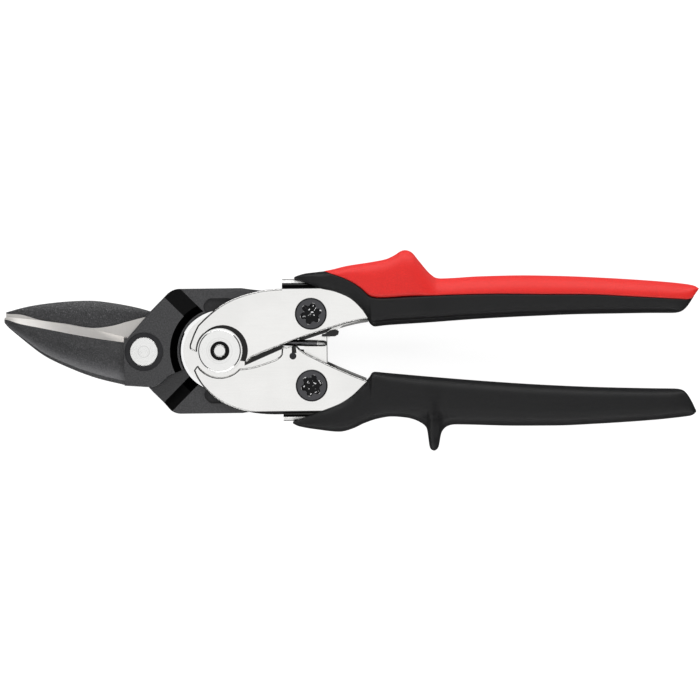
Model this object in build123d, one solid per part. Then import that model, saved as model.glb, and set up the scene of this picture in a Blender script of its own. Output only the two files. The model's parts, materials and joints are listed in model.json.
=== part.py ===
from build123d import *
import os
from math import atan2, cos, degrees, hypot, radians, sin, sqrt, tau

os.makedirs("parts", exist_ok=True)

# Compound-leverage aviation snips, lying on their back with the blades closed and latched.
# +X runs along the tool towards the handles, +Y across it towards the upper handle, +Z up.
# The origin is on the jaw pivot's axis, in the plane of the surface that the tool lies on.

# ---- driving dimensions, millimetres ----
MID = 10.0                    # mid-plane of the tool above the surface
PIVOT_X = 28.3                # jaw pivot to handle pivot
TAIL_X, TAIL_Y = 62.5, 13.4   # tail bolts, one each side of the centre line
BOSS = 7.0                    # jaw boss, mid-plane to its face
TAIL = 4.4                    # jaw tail, mid-plane to its face
PLAY = 0.03                   # half the gap between the sliding faces of the jaws
SHEET = 2.0                   # sheet thickness of the levers
CHEEK = 4.6                   # mid-plane to the inside of a lever cheek
FACE = CHEEK + SHEET          # mid-plane to the outside of a lever cheek
GRIP = 10.0                   # half the grips' thickness
GRIP_ROUND = 4.2              # rounding of the grips' long edges

JAW_BOLT_R = 5.0
JAW_HEAD_R = 5.35
JAW_RECESS_R = 7.2            # round recess that holds the black washer
JAW_RECESS = 1.3
RUNNING = 0.05                # radial clearance of the pivots

HUB_R = 8.4                   # bearing collar of the handle pivot
DISC_R = 7.95                 # raised bright disc on the collar
DISC_BORE = 4.1
HANDLE_BOLT_R = 3.6
NOSE_R = 13.8                 # round noses of the lower lever about the handle pivot
NOSE_IN = CHEEK - SHEET       # mid-plane to the inside of a nose
JAW_SWEEP_R = 15.3            # clearance arc of the jaws about the handle pivot

TAIL_BOLT_R = 4.0
TAIL_HEAD_R = 5.95
TAIL_HEAD = 1.9
LOBE_R = 4.1                  # six-lobe socket
BUSH_R = 5.2
EYE_R = 7.3
OPEN_PIVOT_PLAY = 0.20        # radial clearance at the upper tail, where the linkage is opened

WEB_X = 51.8                  # where the channel's web begins
WEB_Y = 26.6                  # outer face of the webs
BEND_R = 3.8                  # outside bend radius of the channel
PLATE_ROUND = 0.6             # rounded outer edges of the levers' cheeks
REAR_UPPER_ROUND = 0.5        # and of the upper lever's wider rear cheek
BOSS_ROUND = 0.5              # rounded edges of the jaw bosses

WIRE_R = 1.25                 # opening spring
COIL_R = 6.6


# ---- helpers ----
def outline(*runs):
    """Face from runs of points: a straight run is a list, a smooth one is ('curve', list)."""
    edges = []
    for run in runs:
        smooth = run[0] == "curve"
        points = run[1] if smooth else run
        if smooth:
            edges.append(Spline(*points))
        else:
            edges += [Line(a, b) for a, b in zip(points, points[1:]) if a != b]
    return make_face(Wire(edges).edges())


def slab(face, low, high):
    """Face raised from height low to height high, both measured from the mid-plane."""
    return Pos(0, 0, MID + low) * extrude(face, high - low, dir=(0, 0, 1))


def disc(centre, radius, low, high):
    return slab(Pos(*centre) * Circle(radius), low, high)


def ring(centre, outer, inner, low, high):
    return disc(centre, outer, low, high) - disc(centre, inner, low, high)


def turned_over(shape):
    """The same shape on the tool's other face: turned half a turn about the long centre line."""
    return Pos(0, 0, 2 * MID) * Rot(180, 0, 0) * shape


def mirrored(shape):
    """The same shape behind the mid-plane."""
    return mirror(shape, Plane.XY.offset(MID))


def about(centre, radius, angle):
    return (centre[0] + radius * cos(radians(angle)), centre[1] + radius * sin(radians(angle)))


def arc_points(centre, radius, start, end, steps=12):
    return [about(centre, radius, start + (end - start) * i / steps) for i in range(steps + 1)]


def save(shape, name):
    """Writes one node: a single solid where the shape is one piece."""
    solids = shape.solids()
    shape = solids[0] if len(solids) == 1 else Compound(children=list(solids))
    shape.label = name
    export_step(shape, f"parts/{name}.step")
    return shape


JAW = (0, 0)
HANDLE = (PIVOT_X, 0)
UPPER_TAIL = (TAIL_X, TAIL_Y)
LOWER_TAIL = (TAIL_X, -TAIL_Y)


# ---- jaws ----
# Blade sections across the blade at stations along X. Heights are measured from the mid-plane.
# station, cutting edge, foot of the bevel, outer edge, height at the bevel, height at the rim
FRONT_BLADE = [
    (-52.8, 13.4, 12.7, 11.6, 1.5, 1.2),
    (-51.6, 13.6, 12.6, 10.1, 1.8, 1.4),
    (-47.0, 13.2, 11.1, 6.1, 2.5, 1.9),
    (-38.0, 12.0, 9.2, -0.9, 3.5, 2.8),
    (-28.0, 10.1, 7.1, -5.9, 4.4, 3.7),
    (-18.0, 8.2, 5.2, -9.7, 4.9, 4.3),
    (-7.0, 5.5, 3.5, -12.5, 5.2, 4.6),
]
# station, cutting edge, edge of the ground land, outer edge, height at the bevel, height at the rim
REAR_BLADE = [
    (-52.3, 12.6, 15.0, 15.5, 1.7, 1.5),
    (-46.0, 11.9, 14.4, 17.2, 2.6, 2.2),
    (-40.0, 11.0, 12.5, 18.3, 3.4, 3.0),
    (-30.0, 9.1, 10.9, 19.3, 4.3, 3.9),
    (-20.0, 7.2, 9.2, 19.5, 4.8, 4.4),
    (-12.0, 5.9, 10.0, 18.5, 5.1, 4.7),
    (-4.0, 5.0, 12.2, 16.9, 5.4, 4.9),
    (2.5, 5.0, 13.4, 15.1, 5.4, 5.0),
]
LAND_DROP = 0.5               # the forged face steps down this far from the ground land
HOLLOW = 0.15                 # depth of the front blade's hollow, as a share of its width
CROWN = 0.08                  # rise of the rear blade's forged face, as a share of its width
FALL = 0.20                   # and how far it falls away to the outer edge


def closer(table, step=3.0):
    """More stations, about step apart, on smooth curves through the given ones."""
    ends = list(zip(table, table[1:]))
    slopes = [[(b[k] - a[k]) / (b[0] - a[0]) for k in range(len(a))] for a, b in ends]
    tangents = [slopes[0]]
    tangents += [[(after[k] - before[k]) / (after[0] - before[0]) for k in range(len(before))]
                 for before, after in zip(table, table[2:])]
    tangents.append(slopes[-1])
    rows = [table[0]]
    for (a, b), m, n in zip(ends, tangents, tangents[1:]):
        span = b[0] - a[0]
        count = max(1, round(span / step))
        for i in range(1, count + 1):
            t = i / count
            rows.append([(1 + 2 * t) * (1 - t) ** 2 * a[k] + t * (1 - t) ** 2 * span * m[k]
                         + t * t * (3 - 2 * t) * b[k] - t * t * (1 - t) * span * n[k]
                         for k in range(len(a))])
    return rows


def section(x, points, arc, sag):
    """Closed section at station x; the edge from points[arc] to the next one is an arc."""
    edges = []
    for i, start in enumerate(points):
        end = points[(i + 1) % len(points)]
        a, b = Vector(x, *start), Vector(x, *end)
        if i == arc:
            middle = Vector(x, (start[0] + end[0]) / 2, (start[1] + end[1]) / 2 - sag)
            edges.append(ThreePointArc(a, middle, b))
        else:
            edges.append(Line(a, b))
    return make_face(Wire(edges).edges())


def front_blade():
    faces = []
    for x, cut, foot, outer, high, rim in closer(FRONT_BLADE):
        corner = 0.1 * (foot - outer)
        faces.append(section(x, [(cut, MID + PLAY), (cut, MID + 0.4), (foot, MID + high),
                                 (outer + corner, MID + rim), (outer, MID + rim - corner * 0.6),
                                 (outer, MID + PLAY)], 2, HOLLOW * (foot - outer - corner)))
    return loft(faces)


def rear_blade():
    faces = []
    for x, cut, land, outer, high, rim in closer(REAR_BLADE):
        foot = cut + 0.35 * (outer - cut)
        corner = 0.1 * (outer - foot)
        width = outer - land - 0.1
        drop = LAND_DROP * min(1, width / 2)
        faces.append(section(x, [(cut, MID - PLAY), (land, MID - PLAY), (land + 0.1, MID - PLAY - drop),
                                 (outer, MID - PLAY - drop - FALL * width), (outer, MID - rim + corner * 0.6),
                                 (outer - corner, MID - rim), (foot, MID - high), (cut, MID - 0.4)],
                             2, -CROWN * width))
    return loft(faces)


def turn45(u, v):
    """Point at u along the +X+Y diagonal and v across it."""
    return ((u - v) / sqrt(2), (u + v) / sqrt(2))


SLOPE_U = (19.9, 26.2)        # the shoulder slopes down from the boss to the tail along the diagonal
UNDER_U = (18.3, 23.0)        # and the tail's other half slopes up from the mid-plane


def jaw_root():
    """Boss, shoulder, tail and eye of the front jaw; the rear jaw's are the same, turned over."""
    left = [(-7.4, 5.5), (-6.9, 4.3), (2.4, 14.9), (8.6, 21.1)]
    shoulder = ("curve", [(8.6, 21.1), (10.6, 22.7), (13.2, 23.4)])
    back = [(13.2, 23.4), (36.5, 23.4)]
    down = ("curve", [(36.5, 23.4), (48.0, 21.9), (62.5, 20.7)])
    eye = ("curve", arc_points(UPPER_TAIL, EYE_R, 90, -115, 8))
    inner = [about(UPPER_TAIL, EYE_R, -115), about(HANDLE, JAW_SWEEP_R, 55)]
    sweep_arc = ("curve", arc_points(HANDLE, JAW_SWEEP_R, 55, 206, 10))
    foot = [about(HANDLE, JAW_SWEEP_R, 206), (9.6, -8.8), (6.0, -12.0), (3.5, -13.4), (-7.4, -12.6), (-7.4, 5.5)]
    whole = outline(left, shoulder, back, down, eye, inner, sweep_arc, foot)
    body = slab(whole, PLAY, BOSS)
    rounded = [e for e in body.edges().group_by(Axis.Z)[-1]
               if e.center().X > -7.3 and (e.center().X < 9 or e.center().Y > 22.5)]
    body = fillet(rounded, BOSS_ROUND)

    # the boss ends in a cone about the handle pivot, and its shoulder slopes down to the tail
    fall = BOSS - TAIL
    cone = Pos(PIVOT_X, 0, MID + TAIL + fall) * Cone(16.0, 18.6, fall, align=(Align.CENTER, Align.CENTER, Align.MAX))
    diagonal = Plane(origin=(0, 0, MID), x_dir=(1, 1, 0), z_dir=(1, -1, 0))
    low, high = SLOPE_U
    wedge = diagonal * Polygon((low, BOSS), (high, TAIL), (80, TAIL), (80, BOSS + 1), (low, BOSS + 1), align=None)
    body -= cone
    body -= extrude(wedge, 45, both=True) & slab(outline([(-60, -2), (90, -2), (90, 60), (-60, 60), (-60, -2)]),
                                                 0, BOSS + 1)
    # the other half of the tail, beyond the diagonal
    low, high = UNDER_U
    under = diagonal * Polygon((low, 0.5), (low, 0), (high, -TAIL), (90, -TAIL), (90, 0.5), align=None)
    body += slab(whole, -TAIL, 0.5) & extrude(under, 45, both=True)
    # shallow forged pocket beside the lever plates, on both faces
    pocket = outline([(22.3, 14.2), (22.3, 17.6), (24.4, 19.7), (33.5, 19.7), (33.5, 14.2), (22.3, 14.2)])
    body -= fillet_pocket(slab(pocket, TAIL - 0.9, TAIL + 1))
    body -= fillet_pocket(slab(pocket, -TAIL - 1, -TAIL + 0.9))
    return body


def fillet_pocket(shape):
    return fillet(shape.edges().filter_by(Axis.Z), 2.0)


def front_jaw():
    jaw = jaw_root() + front_blade()
    jaw -= disc(JAW, JAW_BOLT_R + RUNNING, -1, BOSS + 1)
    jaw -= disc(JAW, JAW_RECESS_R, BOSS - JAW_RECESS, BOSS + 1)
    jaw -= disc(UPPER_TAIL, BUSH_R, -GRIP, GRIP)
    return jaw


def rear_jaw():
    heel = slab(outline([(-7.4, 5.0), (-7.4, 11.2), (-4.0, 12.1), (0.4, 13.0), (2.5, 13.3), (6.0, 11.5),
                         (-7.4, 5.0)]), -BOSS + 1.6, -PLAY)
    jaw = turned_over(jaw_root()) + heel + rear_blade()
    jaw -= disc(JAW, JAW_BOLT_R, -BOSS - 1, 1)
    jaw -= disc(LOWER_TAIL, BUSH_R, -GRIP, GRIP)
    return jaw


# ---- jaw pivot ----
def hexagon(centre, across_flats, low, high, edge=0.5):
    nut = slab(Pos(*centre) * RegularPolygon(across_flats / 2, 6, major_radius=False), low, high)
    return chamfer(nut.faces().sort_by(Axis.Z)[0].edges(), edge)


def jaw_pivot_bolt():
    top = BOSS + 0.45
    seat = BOSS - JAW_RECESS + 0.1 + 0.7
    bolt = disc(JAW, JAW_BOLT_R, -GRIP, seat) + disc(JAW, JAW_HEAD_R, seat, top)
    bolt = fillet(bolt.faces().sort_by(Axis.Z)[-1].edges(), 0.3)
    return bolt


def jaw_pivot_washer():
    floor = BOSS - JAW_RECESS + 0.1
    return ring(JAW, JAW_RECESS_R - 0.12, JAW_BOLT_R, floor, floor + 0.7)


def jaw_pivot_nut():
    return hexagon(JAW, 14.0, -GRIP, -BOSS) - disc(JAW, JAW_BOLT_R, -GRIP - 1, 0)


# ---- levers ----
def tang(side):
    """Outline of the channel inside a grip, from the visible plate to its rounded end."""
    if side > 0:
        top = [(WEB_X, WEB_Y), (72.0, WEB_Y), (84.0, 26.0), (110.0, 23.6), (168.0, 23.0)]
        bottom = [(168.0, 16.0), (110.0, 13.2), (83.9, 11.2)]
    else:
        top = [(WEB_X, WEB_Y), (72.0, WEB_Y), (95.0, 23.4), (120.0, 26.0), (168.0, 26.3)]
        bottom = [(168.0, 18.4), (120.0, 15.2), (83.1, 11.8)]
    return top, bottom


def rounded_plate(face, low, high, rounding):
    """Pressed plate whose outer edge is rounded."""
    plate = slab(face, low, high)
    return fillet(plate.edges().group_by(Axis.Z)[-1], rounding)


def upper_cheek(low, high, margin, rounding):
    """One cheek of the upper lever; margin widens it along the gap between the handles."""
    top, bottom = tang(+1)
    back = ("curve", [(20.2, 9.6), (24.4, 13.6), (30.4, 17.9), (38.5, 21.1), (46.0, 22.6), (WEB_X, 22.9)])
    gap = ("curve", [(83.9, 11.2 - margin), (76.3, 9.8 - margin), (68.3, 7.5 - margin), (58.5, 4.4 - margin)])
    inner = [(58.5, 4.4 - margin), (57.5, 4.1), (50.2, 1.4), (44.2, -0.9), (40.2, -2.5), (38.4, -4.2),
             about(HANDLE, HUB_R + RUNNING, -27)]
    seat = ("curve", arc_points(HANDLE, HUB_R + RUNNING, -27, 183, 14))
    hook = [about(HANDLE, HUB_R + RUNNING, 183), (17.3, 0.6)]
    hook_side = ("curve", [(17.3, 0.6), (17.0, 1.6), (17.5, 3.6), (18.4, 6.0), (20.2, 9.6)])
    face = outline(back, [(WEB_X, 22.9)] + top + bottom + [(83.9, 11.2 - margin)], gap, inner, seat, hook,
                   hook_side)
    return rounded_plate(face, low, high, rounding)


def lower_cheek(low, high, margin, rounding):
    """One cheek of the lower lever, without its nose."""
    top, bottom = tang(-1)
    corner = about(HANDLE, 9.9, 213)
    nose = [corner, (19.4, -5.9), (18.5, -7.2)]
    back = ("curve", [(18.5, -7.2), (20.1, -10.7), (24.0, -15.6), (31.9, -20.8), (39.9, -23.2), (WEB_X, -24.0)])
    tail = [(WEB_X, -24.0)] + [(x, -y) for x, y in top] + [(x, -y) for x, y in bottom]
    gap = ("curve", [(83.1, -11.8 + margin), (74.1, -8.0 + margin), (66.2, -4.3 + margin), (59.5, -0.8 + margin)])
    crest = [(59.5, -0.8 + margin), (58.2, 0.2), (56.8, 1.7), (51.5, 0.9), (51.3, -1.6)]
    leaf = ("curve", [(51.3, -1.6), (49.7, -3.1), (46.1, -4.5), (42.1, -5.8), about(HANDLE, 9.9, -43)])
    seat = ("curve", arc_points(HANDLE, 9.9, -43, -147, 10))
    face = outline(nose, back, tail + [(83.1, -11.8 + margin)], gap, crest, leaf, seat)
    return rounded_plate(face, low, high, rounding)


def nose(low, high):
    """Joggled inner plate of the lower lever: its eye on the pivot and its leaf under the upper cheek."""
    leaf = outline([(36.0, -10.5), (44.0, -7.4), (50.5, -4.6), (53.5, -1.0), (53.5, 0.8), (49.0, 2.6),
                    (38.0, 0.0), (36.0, -10.5)])
    plate = disc(HANDLE, NOSE_R, low, high) + slab(leaf, low, high)
    return plate - disc(HANDLE, HANDLE_BOLT_R, low - 1, high + 1)


def web(side):
    """Outer wall of the channel, with the bends that join it to both cheeks."""
    top, _ = tang(side)
    points = top + [(top[-1][0], top[-1][1] - 7), (WEB_X, WEB_Y - 7)]
    outer = slab(Polygon(*[(x, side * y) for x, y in points], align=None), -FACE, FACE)
    bends = [e for e in outer.edges() if abs(abs(e.center().Z - MID) - FACE) < 0.01
             and side * e.center().Y > 22.0 and abs(e.tangent_at(0.5).X) > 0.5]
    outer = fillet(bends, BEND_R)
    inner_points = [(x - 1 if i == 0 else x, y - SHEET) for i, (x, y) in enumerate(top)]
    inner_points[-1] = (top[-1][0] + 1, inner_points[-1][1])
    inner_points += [(top[-1][0] + 1, -5), (WEB_X - 1, -5)]
    hollow = slab(Polygon(*[(x, side * y) for x, y in inner_points], align=None), -CHEEK, CHEEK)
    bends = [e for e in hollow.edges() if abs(abs(e.center().Z - MID) - CHEEK) < 0.01
             and side * e.center().Y > 20.0 and abs(e.tangent_at(0.5).X) > 0.5]
    return outer, fillet(bends, BEND_R - SHEET)


def channel(side, cheek, margin, rear_round):
    """Both cheeks with the web between them, hollow from the pivot to the end of the tang."""
    outer, hollow = web(side)
    block = cheek(CHEEK, FACE, 0, PLATE_ROUND) + mirrored(cheek(CHEEK, FACE, margin, rear_round))
    keep = slab(outline([(0, side * -30), (WEB_X, side * -30), (WEB_X, side * 40), (0, side * 40),
                         (0, side * -30)]), -FACE, FACE)
    front = block & keep
    rear_zone = block - keep
    trim = slab(Polygon(*[(x, side * y) for x, y in
                          [(WEB_X, -5), (WEB_X, WEB_Y - 7)] +
                          [(tang(side)[0][-1][0], tang(side)[0][-1][1] - 7), (tang(side)[0][-1][0], -5)]],
                        align=None), -FACE, FACE)
    return front + (rear_zone & (trim + outer)) + (outer - hollow)


def upper_lever():
    lever = channel(+1, upper_cheek, 1.0, REAR_UPPER_ROUND)
    lever -= disc(UPPER_TAIL, TAIL_BOLT_R, -GRIP, GRIP)
    for guide in GUIDES:
        lever -= disc(guide, GUIDE_R, -GRIP, GRIP)
    recess = disc((PIVOT_X + 1.0, 0.1), 9.5, FACE - 1.1, FACE + 1)
    return lever - recess - mirrored(recess)


def lower_lever():
    lever = channel(-1, lower_cheek, 0.9, PLATE_ROUND)
    lever += nose(NOSE_IN, CHEEK)
    lever += mirrored(nose(NOSE_IN, CHEEK))
    lever -= disc(LOWER_TAIL, TAIL_BOLT_R, -GRIP, GRIP)
    lever -= disc(CATCH, CATCH_R, -GRIP, GRIP)
    notch = slab(Polygon((55.2, 3), (56.5, 3), (57.0, -1.2), (55.2, -1.2), align=None), CHEEK - 0.1, FACE + 1)
    return lever - notch


# ---- handle pivot ----
def handle_pivot_bush():
    """Bearing collar with its raised bright disc."""
    top = FACE + 2.0
    bush = disc(HANDLE, HUB_R, CHEEK, FACE + 0.3) + disc(HANDLE, DISC_R, FACE + 0.3, top)
    bush = chamfer(bush.faces().sort_by(Axis.Z)[-1].edges(), 0.4)
    bush -= disc(HANDLE, HANDLE_BOLT_R, CHEEK - 1, FACE + 0.3)
    return bush - disc(HANDLE, DISC_BORE, FACE - 0.4, top + 1)


def handle_pivot_bolt():
    bolt = disc(HANDLE, HANDLE_BOLT_R, -FACE - 1.6, FACE - 0.6) + disc(HANDLE, 2.45, FACE - 0.6, FACE + 1.3)
    return fillet(bolt.faces().sort_by(Axis.Z)[-1].edges(), 0.5)


def handle_pivot_nut():
    return ring(HANDLE, DISC_BORE - 0.1, HANDLE_BOLT_R, -FACE - 1.8, -FACE + 0.3)


def handle_pivot_sleeve():
    return ring(HANDLE, HANDLE_BOLT_R + 1.2, HANDLE_BOLT_R, -NOSE_IN, NOSE_IN)


def opening_spring():
    """Torsion spring: one close turn round the pivot, with a leg towards each handle."""
    rise = WIRE_R + 0.05
    coil = Pos(PIVOT_X, 0, MID - rise) * Rot(0, 0, 90) * Helix(2 * rise, 2 * rise, COIL_R)
    wire = Plane(origin=coil @ 0, z_dir=coil % 0) * Circle(WIRE_R)
    spring = sweep(wire, path=coil)
    upper = [(PIVOT_X, COIL_R), (50.0, 2.9), (68.3, 2.25)]
    lower = [(PIVOT_X, COIL_R), (PIVOT_X - 5.0, 6.2)]
    for points, height in ((upper, rise), (lower, -rise)):
        for start, end in zip(points, points[1:]):
            a, b = Vector(*start, MID + height), Vector(*end, MID + height)
            spring += Plane(origin=a, z_dir=b - a) * Cylinder(
                WIRE_R, (b - a).length, align=(Align.CENTER, Align.CENTER, Align.MIN))
            spring += Pos(*a) * Sphere(WIRE_R)
    return spring


# ---- tail bolts ----
def six_lobes(centre, low, high):
    """Six-lobe socket: a round core with six round lobes."""
    socket = disc(centre, LOBE_R * 0.74, low, high)
    for i in range(6):
        socket += disc(about(centre, LOBE_R * 0.72, 60 * i + 15), LOBE_R * 0.28, low, high)
    return socket


def tail_bolt(centre):
    bolt = disc(centre, TAIL_BOLT_R, -FACE - 1.4, FACE) + disc(centre, TAIL_HEAD_R, FACE, FACE + TAIL_HEAD)
    bolt = fillet(bolt.faces().sort_by(Axis.Z)[-1].edges(), 0.6)
    return bolt - six_lobes(centre, FACE - 1.4, FACE + TAIL_HEAD + 1)


def tail_nut(centre):
    nut = ring(centre, TAIL_HEAD_R, TAIL_BOLT_R, -FACE - 2.1, -FACE)
    return chamfer(nut.edges().filter_by(GeomType.CIRCLE).group_by(Axis.Z)[0].sort_by(SortBy.RADIUS)[-1], 0.5)


def tail_bush(centre, play):
    return ring(centre, BUSH_R, TAIL_BOLT_R + play, -TAIL, TAIL)


# ---- latch ----
CATCH = (55.6, -2.3)          # catch pin in the lower lever
CATCH_R = 1.3
LATCH_TRAVEL = 2.4            # the latch slides this far to reach under the catch pin
GUIDES = ((75.4, 12.6), (79.6, 12.6))   # guide pins in the upper lever, clear of the jaw's eye
GUIDE_R = 1.2
LATCH_LOW, LATCH_HIGH = -2.8, -0.8      # the hook plate, measured from the mid-plane


def latch_hook():
    """Flat sliding hook, carried by the upper lever, whose tongue goes under the catch pin."""
    tongue = CATCH[0] + CATCH_R + 0.3
    under = CATCH[1] - CATCH_R - 0.15
    throat = tongue + LATCH_TRAVEL
    body = outline([(68.5, -5.2), (68.5, 4.0), (71.4, 6.4), (74.2, 8.9), (82.6, 11.2), (82.6, 14.4), (72.9, 14.4),
                    (72.7, 11.0), (71.2, 9.0), (69.8, 7.6), (67.2, 5.7), (throat, 3.2), (throat, under),
                    (tongue, under), (tongue, -5.2), (68.5, -5.2)])
    hook = slab(body, LATCH_LOW, LATCH_HIGH)
    for x, y in GUIDES:
        slot = SlotCenterToCenter(LATCH_TRAVEL, 2 * (GUIDE_R + RUNNING))
        hook -= slab(Pos(x + LATCH_TRAVEL / 2, y) * slot, LATCH_LOW - 1, LATCH_HIGH + 1)
    return hook


def latch_tab():
    """Moulded thumb piece over the hook's arm."""
    tab = slab(outline([(66.5, 4.9), (71.3, 4.9), (72.6, 5.6), (72.9, 6.9), (71.6, 7.5), (69.6, 7.2), (67.6, 5.9),
                        (66.5, 5.8), (66.5, 4.9)]), -3.9, 3.9)
    tab = fillet(tab.edges().filter_by(Axis.Z), 0.25)
    return tab - latch_hook()


def latch_guide_pins():
    """Two guide pins across the upper lever."""
    return Compound(children=[disc(guide, GUIDE_R, -FACE, FACE) for guide in GUIDES])


def latch_catch_pin():
    return disc(CATCH, CATCH_R, -FACE, FACE)


# ---- grips ----
# Stations along X with the grip's lowest and highest Y there.
UPPER_GRIP = [
    (56.4, 26.7, 27.6), (60.5, 25.0, 28.7), (66.5, 22.7, 29.3), (73.0, 21.1, 30.6), (77.5, 18.9, 31.5),
    (81.0, 15.6, 32.1), (83.6, 11.4, 32.4), (86.0, 8.5, 32.7), (91.0, 8.8, 33.7), (94.5, 9.0, 35.4),
    (98.0, 9.2, 37.0), (100.7, 9.3, 36.0), (104.6, 9.6, 31.2), (108.1, 9.8, 27.4), (111.0, 10.0, 26.3),
    (125.5, 10.8, 26.8), (145.5, 11.6, 26.9), (165.5, 12.1, 26.2), (185.5, 12.2, 24.8), (200.0, 12.2, 23.5),
    (203.5, 14.2, 23.0), (207.4, 19.9, 21.9),
]
LOWER_GRIP = [
    (55.3, -27.8, -26.9), (60.0, -29.3, -25.1), (66.0, -30.3, -22.7), (72.8, -31.0, -20.1), (78.0, -29.7, -16.7),
    (82.0, -27.9, -12.8), (84.4, -26.9, -10.0), (86.2, -26.5, -8.6), (92.5, -25.5, -9.2), (98.0, -26.0, -9.7),
    (103.0, -27.8, -10.2), (112.8, -29.3, -11.2), (119.8, -28.9, -12.0), (139.8, -29.6, -13.6),
    (159.8, -29.5, -14.9), (179.9, -28.7, -15.7), (200.5, -27.2, -16.4), (203.0, -26.9, -18.4),
    (205.9, -25.3, -23.6),
]


def grip(stations):
    """Lofted handle with rounded long edges."""
    sections = []
    for x, low, high in stations:
        rounding = min(GRIP_ROUND, 0.42 * (high - low))
        place = Plane(origin=(x, (low + high) / 2, MID), x_dir=(0, 1, 0), z_dir=(1, 0, 0))
        sections.append(place * RectangleRounded(high - low, 2 * GRIP, rounding))
    return loft(sections, ruled=True)


def finger_hook():
    """Small hook under the lower grip that keeps the hand from sliding forward."""
    blade = slab(outline([(104.5, -24.0), (105.9, -30.3), (106.3, -36.8)],
                         ("curve", [(106.3, -36.8), (108.1, -38.6), (109.9, -37.0)]),
                         [(109.9, -37.0), (111.2, -31.2), (114.0, -24.0), (104.5, -24.0)]), -7.5, 7.5)
    tip = blade.edges().filter_by(Axis.Y, reverse=True).filter_by(Axis.Z, reverse=True).group_by(Axis.Y)[0]
    return chamfer(tip, 0.8)


def red_side():
    """Everything above the line where the red overmould meets the black core."""
    line = ("curve", [(67.0, 29.6), (73.5, 26.9), (80.5, 22.9), (85.4, 18.9), (95.4, 18.6), (115.5, 19.5),
                      (150.5, 19.2), (175.4, 18.4), (210.0, 16.1)])
    return slab(outline(line, [(210.0, 16.1), (210.0, 45.0), (60.0, 45.0), (60.0, 31.5), (67.0, 29.6)]),
                -GRIP - 1, GRIP + 1)


# ---- nodes ----
def filled(lever_side):
    """Space that the channel takes inside its grip, hollow included."""
    top, bottom = tang(lever_side)
    points = [(WEB_X, 12.0)] + top + bottom
    return slab(Polygon(*[(x, lever_side * y) for x, y in points], align=None), -FACE, FACE)


def main():
    front_bush = handle_pivot_bush()
    upper_grip = grip(UPPER_GRIP) - filled(+1)
    shapes = {
        "front_jaw": front_jaw(),
        "rear_jaw": rear_jaw(),
        "jaw_pivot_bolt": jaw_pivot_bolt(),
        "jaw_pivot_washer": jaw_pivot_washer(),
        "jaw_pivot_nut": jaw_pivot_nut(),
        "upper_lever": upper_lever(),
        "lower_lever": lower_lever(),
        "handle_pivot_bolt": handle_pivot_bolt(),
        "handle_pivot_front_bush": front_bush,
        "handle_pivot_rear_bush": mirrored(front_bush),
        "handle_pivot_sleeve": handle_pivot_sleeve(),
        "handle_pivot_nut": handle_pivot_nut(),
        "opening_spring": opening_spring(),
        "upper_tail_bolt": tail_bolt(UPPER_TAIL),
        "upper_tail_nut": tail_nut(UPPER_TAIL),
        "upper_tail_bush": tail_bush(UPPER_TAIL, OPEN_PIVOT_PLAY),
        "lower_tail_bolt": tail_bolt(LOWER_TAIL),
        "lower_tail_nut": tail_nut(LOWER_TAIL),
        "lower_tail_bush": tail_bush(LOWER_TAIL, RUNNING),
        "latch_hook": latch_hook(),
        "latch_tab": latch_tab(),
        "latch_guide_pins": latch_guide_pins(),
        "latch_catch_pin": latch_catch_pin(),
        "upper_grip_core": upper_grip - red_side(),
        "upper_grip_overmould": upper_grip & red_side(),
        "lower_grip": grip(LOWER_GRIP) + finger_hook() - filled(-1),
    }
    for name, shape in shapes.items():
        save(shape, name)


main()
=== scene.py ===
import json
from math import cos, exp, pi, radians, sin, tau

import bmesh
import bpy
from bpy.props import FloatProperty, FloatVectorProperty, PointerProperty
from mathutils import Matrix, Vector


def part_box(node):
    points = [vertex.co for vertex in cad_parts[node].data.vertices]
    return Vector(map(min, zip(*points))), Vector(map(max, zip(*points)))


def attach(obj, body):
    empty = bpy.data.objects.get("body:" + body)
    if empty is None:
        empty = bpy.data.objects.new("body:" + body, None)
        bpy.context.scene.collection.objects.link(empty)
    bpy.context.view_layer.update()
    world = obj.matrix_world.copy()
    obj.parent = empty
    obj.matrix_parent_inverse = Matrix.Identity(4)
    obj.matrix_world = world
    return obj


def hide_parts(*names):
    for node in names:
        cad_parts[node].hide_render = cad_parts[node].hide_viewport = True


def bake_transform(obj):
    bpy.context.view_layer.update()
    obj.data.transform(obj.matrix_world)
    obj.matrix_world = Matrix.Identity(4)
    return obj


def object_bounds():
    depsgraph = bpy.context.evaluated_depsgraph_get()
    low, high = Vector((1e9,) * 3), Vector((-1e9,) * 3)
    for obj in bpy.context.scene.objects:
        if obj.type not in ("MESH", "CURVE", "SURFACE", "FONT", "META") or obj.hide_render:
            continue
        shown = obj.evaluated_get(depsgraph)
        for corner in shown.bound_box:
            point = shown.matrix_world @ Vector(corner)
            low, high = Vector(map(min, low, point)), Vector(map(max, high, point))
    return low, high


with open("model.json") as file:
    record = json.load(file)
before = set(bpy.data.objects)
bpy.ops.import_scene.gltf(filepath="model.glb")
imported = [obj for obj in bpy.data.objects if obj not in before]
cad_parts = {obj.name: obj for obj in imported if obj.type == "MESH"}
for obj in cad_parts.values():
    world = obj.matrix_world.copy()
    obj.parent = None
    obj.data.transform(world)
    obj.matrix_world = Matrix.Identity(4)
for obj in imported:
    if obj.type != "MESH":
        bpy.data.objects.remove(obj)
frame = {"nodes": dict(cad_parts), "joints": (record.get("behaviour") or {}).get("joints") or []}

bl_info = {
    "name": "Compound Snips",
    "version": (1, 0, 0),
    "blender": (4, 5, 0),
    "location": "View3D > Sidebar > Snips",
    "description": "Dresses the packed snips in their visible pieces, finishes and studio",
    "category": "Object",
}

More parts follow.
